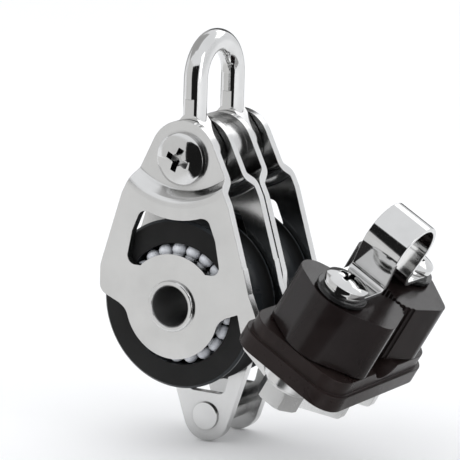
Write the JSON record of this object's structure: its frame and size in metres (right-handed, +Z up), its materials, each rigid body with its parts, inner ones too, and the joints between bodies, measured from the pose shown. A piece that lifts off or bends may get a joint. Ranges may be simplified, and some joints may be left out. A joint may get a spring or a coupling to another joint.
{
  "type": "double sheave block with becket and cam cleat",
  "caption": "Ball bearing sheave block with sheaves side by side in stamped steel cheeks, with a shackle head, a becket, a hollow axle and a cam cleat with fairlead on side arms.",
  "frame": {"origin": "middle of the hollow axle's through bore, halfway between the outer cheeks", "axes": "+X from the axle towards the cleat side, +Y along the axle from the front cheek to the rear cheek, +Z up to the shackle"},
  "size_m": [0.0697, 0.0426, 0.0841],
  "materials": {
    "stamped_steel": "satin face, polished edges",
    "polished_steel": "polished",
    "turned_steel": "turned, polished",
    "sheave_black": "matte",
    "race_black": "matte",
    "ball_white": "semi-gloss",
    "cleat_black": "moulded satin",
    "cam_black": "moulded satin",
    "cap_black": "semi-gloss"
  },
  "bodies": {
    "frame": {"front_cheek": "stamped_steel", "front_inner_cheek": "stamped_steel", "rear_inner_cheek": "stamped_steel", "rear_cheek": "stamped_steel", "centre_washer": "turned_steel", "hollow_axle": "polished_steel", "front_bearing_race": "race_black", "rear_bearing_race": "race_black", "head_bolt": "polished_steel", "head_spacer": "turned_steel", "head_washer": "turned_steel", "head_nut": "turned_steel", "becket_pin": "polished_steel", "becket_spacer": "turned_steel", "cleat_base": "cleat_black", "cam_bushings": "turned_steel", "cam_springs": "turned_steel", "cam_caps": "cap_black", "fairlead_strap": "polished_steel", "cleat_screws": "polished_steel", "cleat_washers": "turned_steel", "cleat_nuts": "turned_steel"},
    "front_sheave_body": {"front_sheave": "sheave_black"},
    "rear_sheave_body": {"rear_sheave": "sheave_black"},
    "front_ball_set": {"front_bearing_balls": "ball_white"},
    "rear_ball_set": {"rear_bearing_balls": "ball_white"},
    "shackle": {"shackle_bow": "polished_steel"},
    "front_cam_body": {"front_cam": "cam_black"},
    "rear_cam_body": {"rear_cam": "cam_black"}
  },
  "joints": [
    {"name": "front_sheave_spin", "type": "hinge", "parent": "frame", "child": "front_sheave_body", "pos_m": [0, -0.00722, 0], "axis": [0, 1, 0], "continuous": true},
    {"name": "rear_sheave_spin", "type": "hinge", "parent": "frame", "child": "rear_sheave_body", "pos_m": [0, 0.00722, 0], "axis": [0, 1, 0], "continuous": true},
    {"name": "front_ball_orbit", "type": "hinge", "parent": "frame", "child": "front_ball_set", "pos_m": [0, -0.00722, 0], "axis": [0, 1, 0], "continuous": true},
    {"name": "rear_ball_orbit", "type": "hinge", "parent": "frame", "child": "rear_ball_set", "pos_m": [0, 0.00722, 0], "axis": [0, 1, 0], "continuous": true},
    {"name": "shackle_swing", "type": "hinge", "parent": "frame", "child": "shackle", "pos_m": [0, 0, 0.0291], "axis": [0, 1, 0], "range_deg": [-120, 120]},
    {"name": "front_cam_pivot", "type": "hinge", "parent": "frame", "child": "front_cam_body", "pos_m": [0.03785, -0.02073, 0.00355], "axis": [0.5, 0, 0.866], "range_deg": [-32, 0], "stiffness_Nm_per_rad": 0.03, "springref_deg": 20.05},
    {"name": "rear_cam_pivot", "type": "hinge", "parent": "frame", "child": "rear_cam_body", "pos_m": [0.03785, 0.00628, 0.00355], "axis": [0.5, 0, 0.866], "range_deg": [0, 32], "stiffness_Nm_per_rad": 0.03, "springref_deg": -20.05}
  ],
  "couplings": [
    {"joint": "front_ball_orbit", "follows": "front_sheave_spin", "ratio": 0.5678},
    {"joint": "rear_ball_orbit", "follows": "rear_sheave_spin", "ratio": 0.5678}
  ]
}
